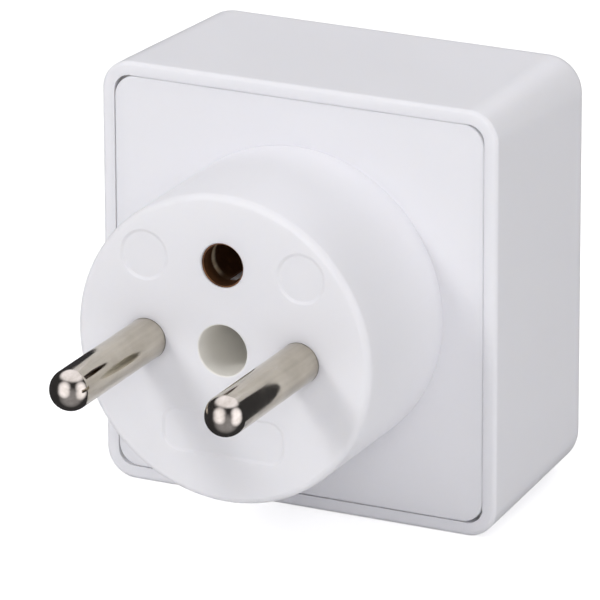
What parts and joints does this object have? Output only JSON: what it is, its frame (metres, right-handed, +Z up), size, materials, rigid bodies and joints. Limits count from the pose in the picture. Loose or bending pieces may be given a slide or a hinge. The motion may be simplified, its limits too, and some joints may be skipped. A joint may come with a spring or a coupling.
{
  "type": "travel plug adapter",
  "caption": "Square plug adapter: a round boss with two round pins and an earth hole on one side, a shuttered three-slot socket for flat pins on the other.",
  "frame": {"origin": "on the axis of the round boss, in the plane where the boss leaves the square box", "axes": "-Y along the boss axis towards the pins' tips, +Y towards the socket face, +Z up towards the earth side, +X to the right seen from the plug side"},
  "size_m": [0.0496, 0.0668, 0.0508],
  "materials": {
    "shell": "glossy moulded white plastic",
    "insulator": "plain moulded plastic",
    "shutter_plastic": "smooth moulded plastic",
    "pin_plating": "nickel plating over brass, turned",
    "contact_brass": "bare stamped brass",
    "screw_steel": "zinc plated",
    "spring_steel": "bare spring steel"
  },
  "bodies": {
    "adapter": {"housing": "shell", "plug_base": "shell", "line_pin": "pin_plating", "neutral_pin": "pin_plating", "earth_sleeve": "contact_brass", "assembly_screw": "screw_steel", "screw_washer": "screw_steel", "contact_block": "insulator", "block_screw_left": "screw_steel", "block_screw_right": "screw_steel", "rear_plate": "insulator", "line_contact": "contact_brass", "neutral_contact": "contact_brass", "earth_contact": "contact_brass", "line_clip": "spring_steel", "neutral_clip": "spring_steel", "earth_clip": "spring_steel", "line_strap": "contact_brass", "neutral_strap": "contact_brass", "earth_strap": "contact_brass", "line_rivet": "contact_brass", "neutral_rivet": "contact_brass", "earth_rivet": "contact_brass", "shutter_spring": "spring_steel"},
    "safety_shutter": {"shutter": "shutter_plastic"}
  },
  "joints": [
    {"name": "shutter_slide", "type": "slide", "parent": "adapter", "child": "safety_shutter", "axis": [0, 0, -1], "range_m": [0, 0.00466], "stiffness_N_per_m": 150, "springref_m": -0.0035, "deforming": ["shutter_spring"]}
  ]
}
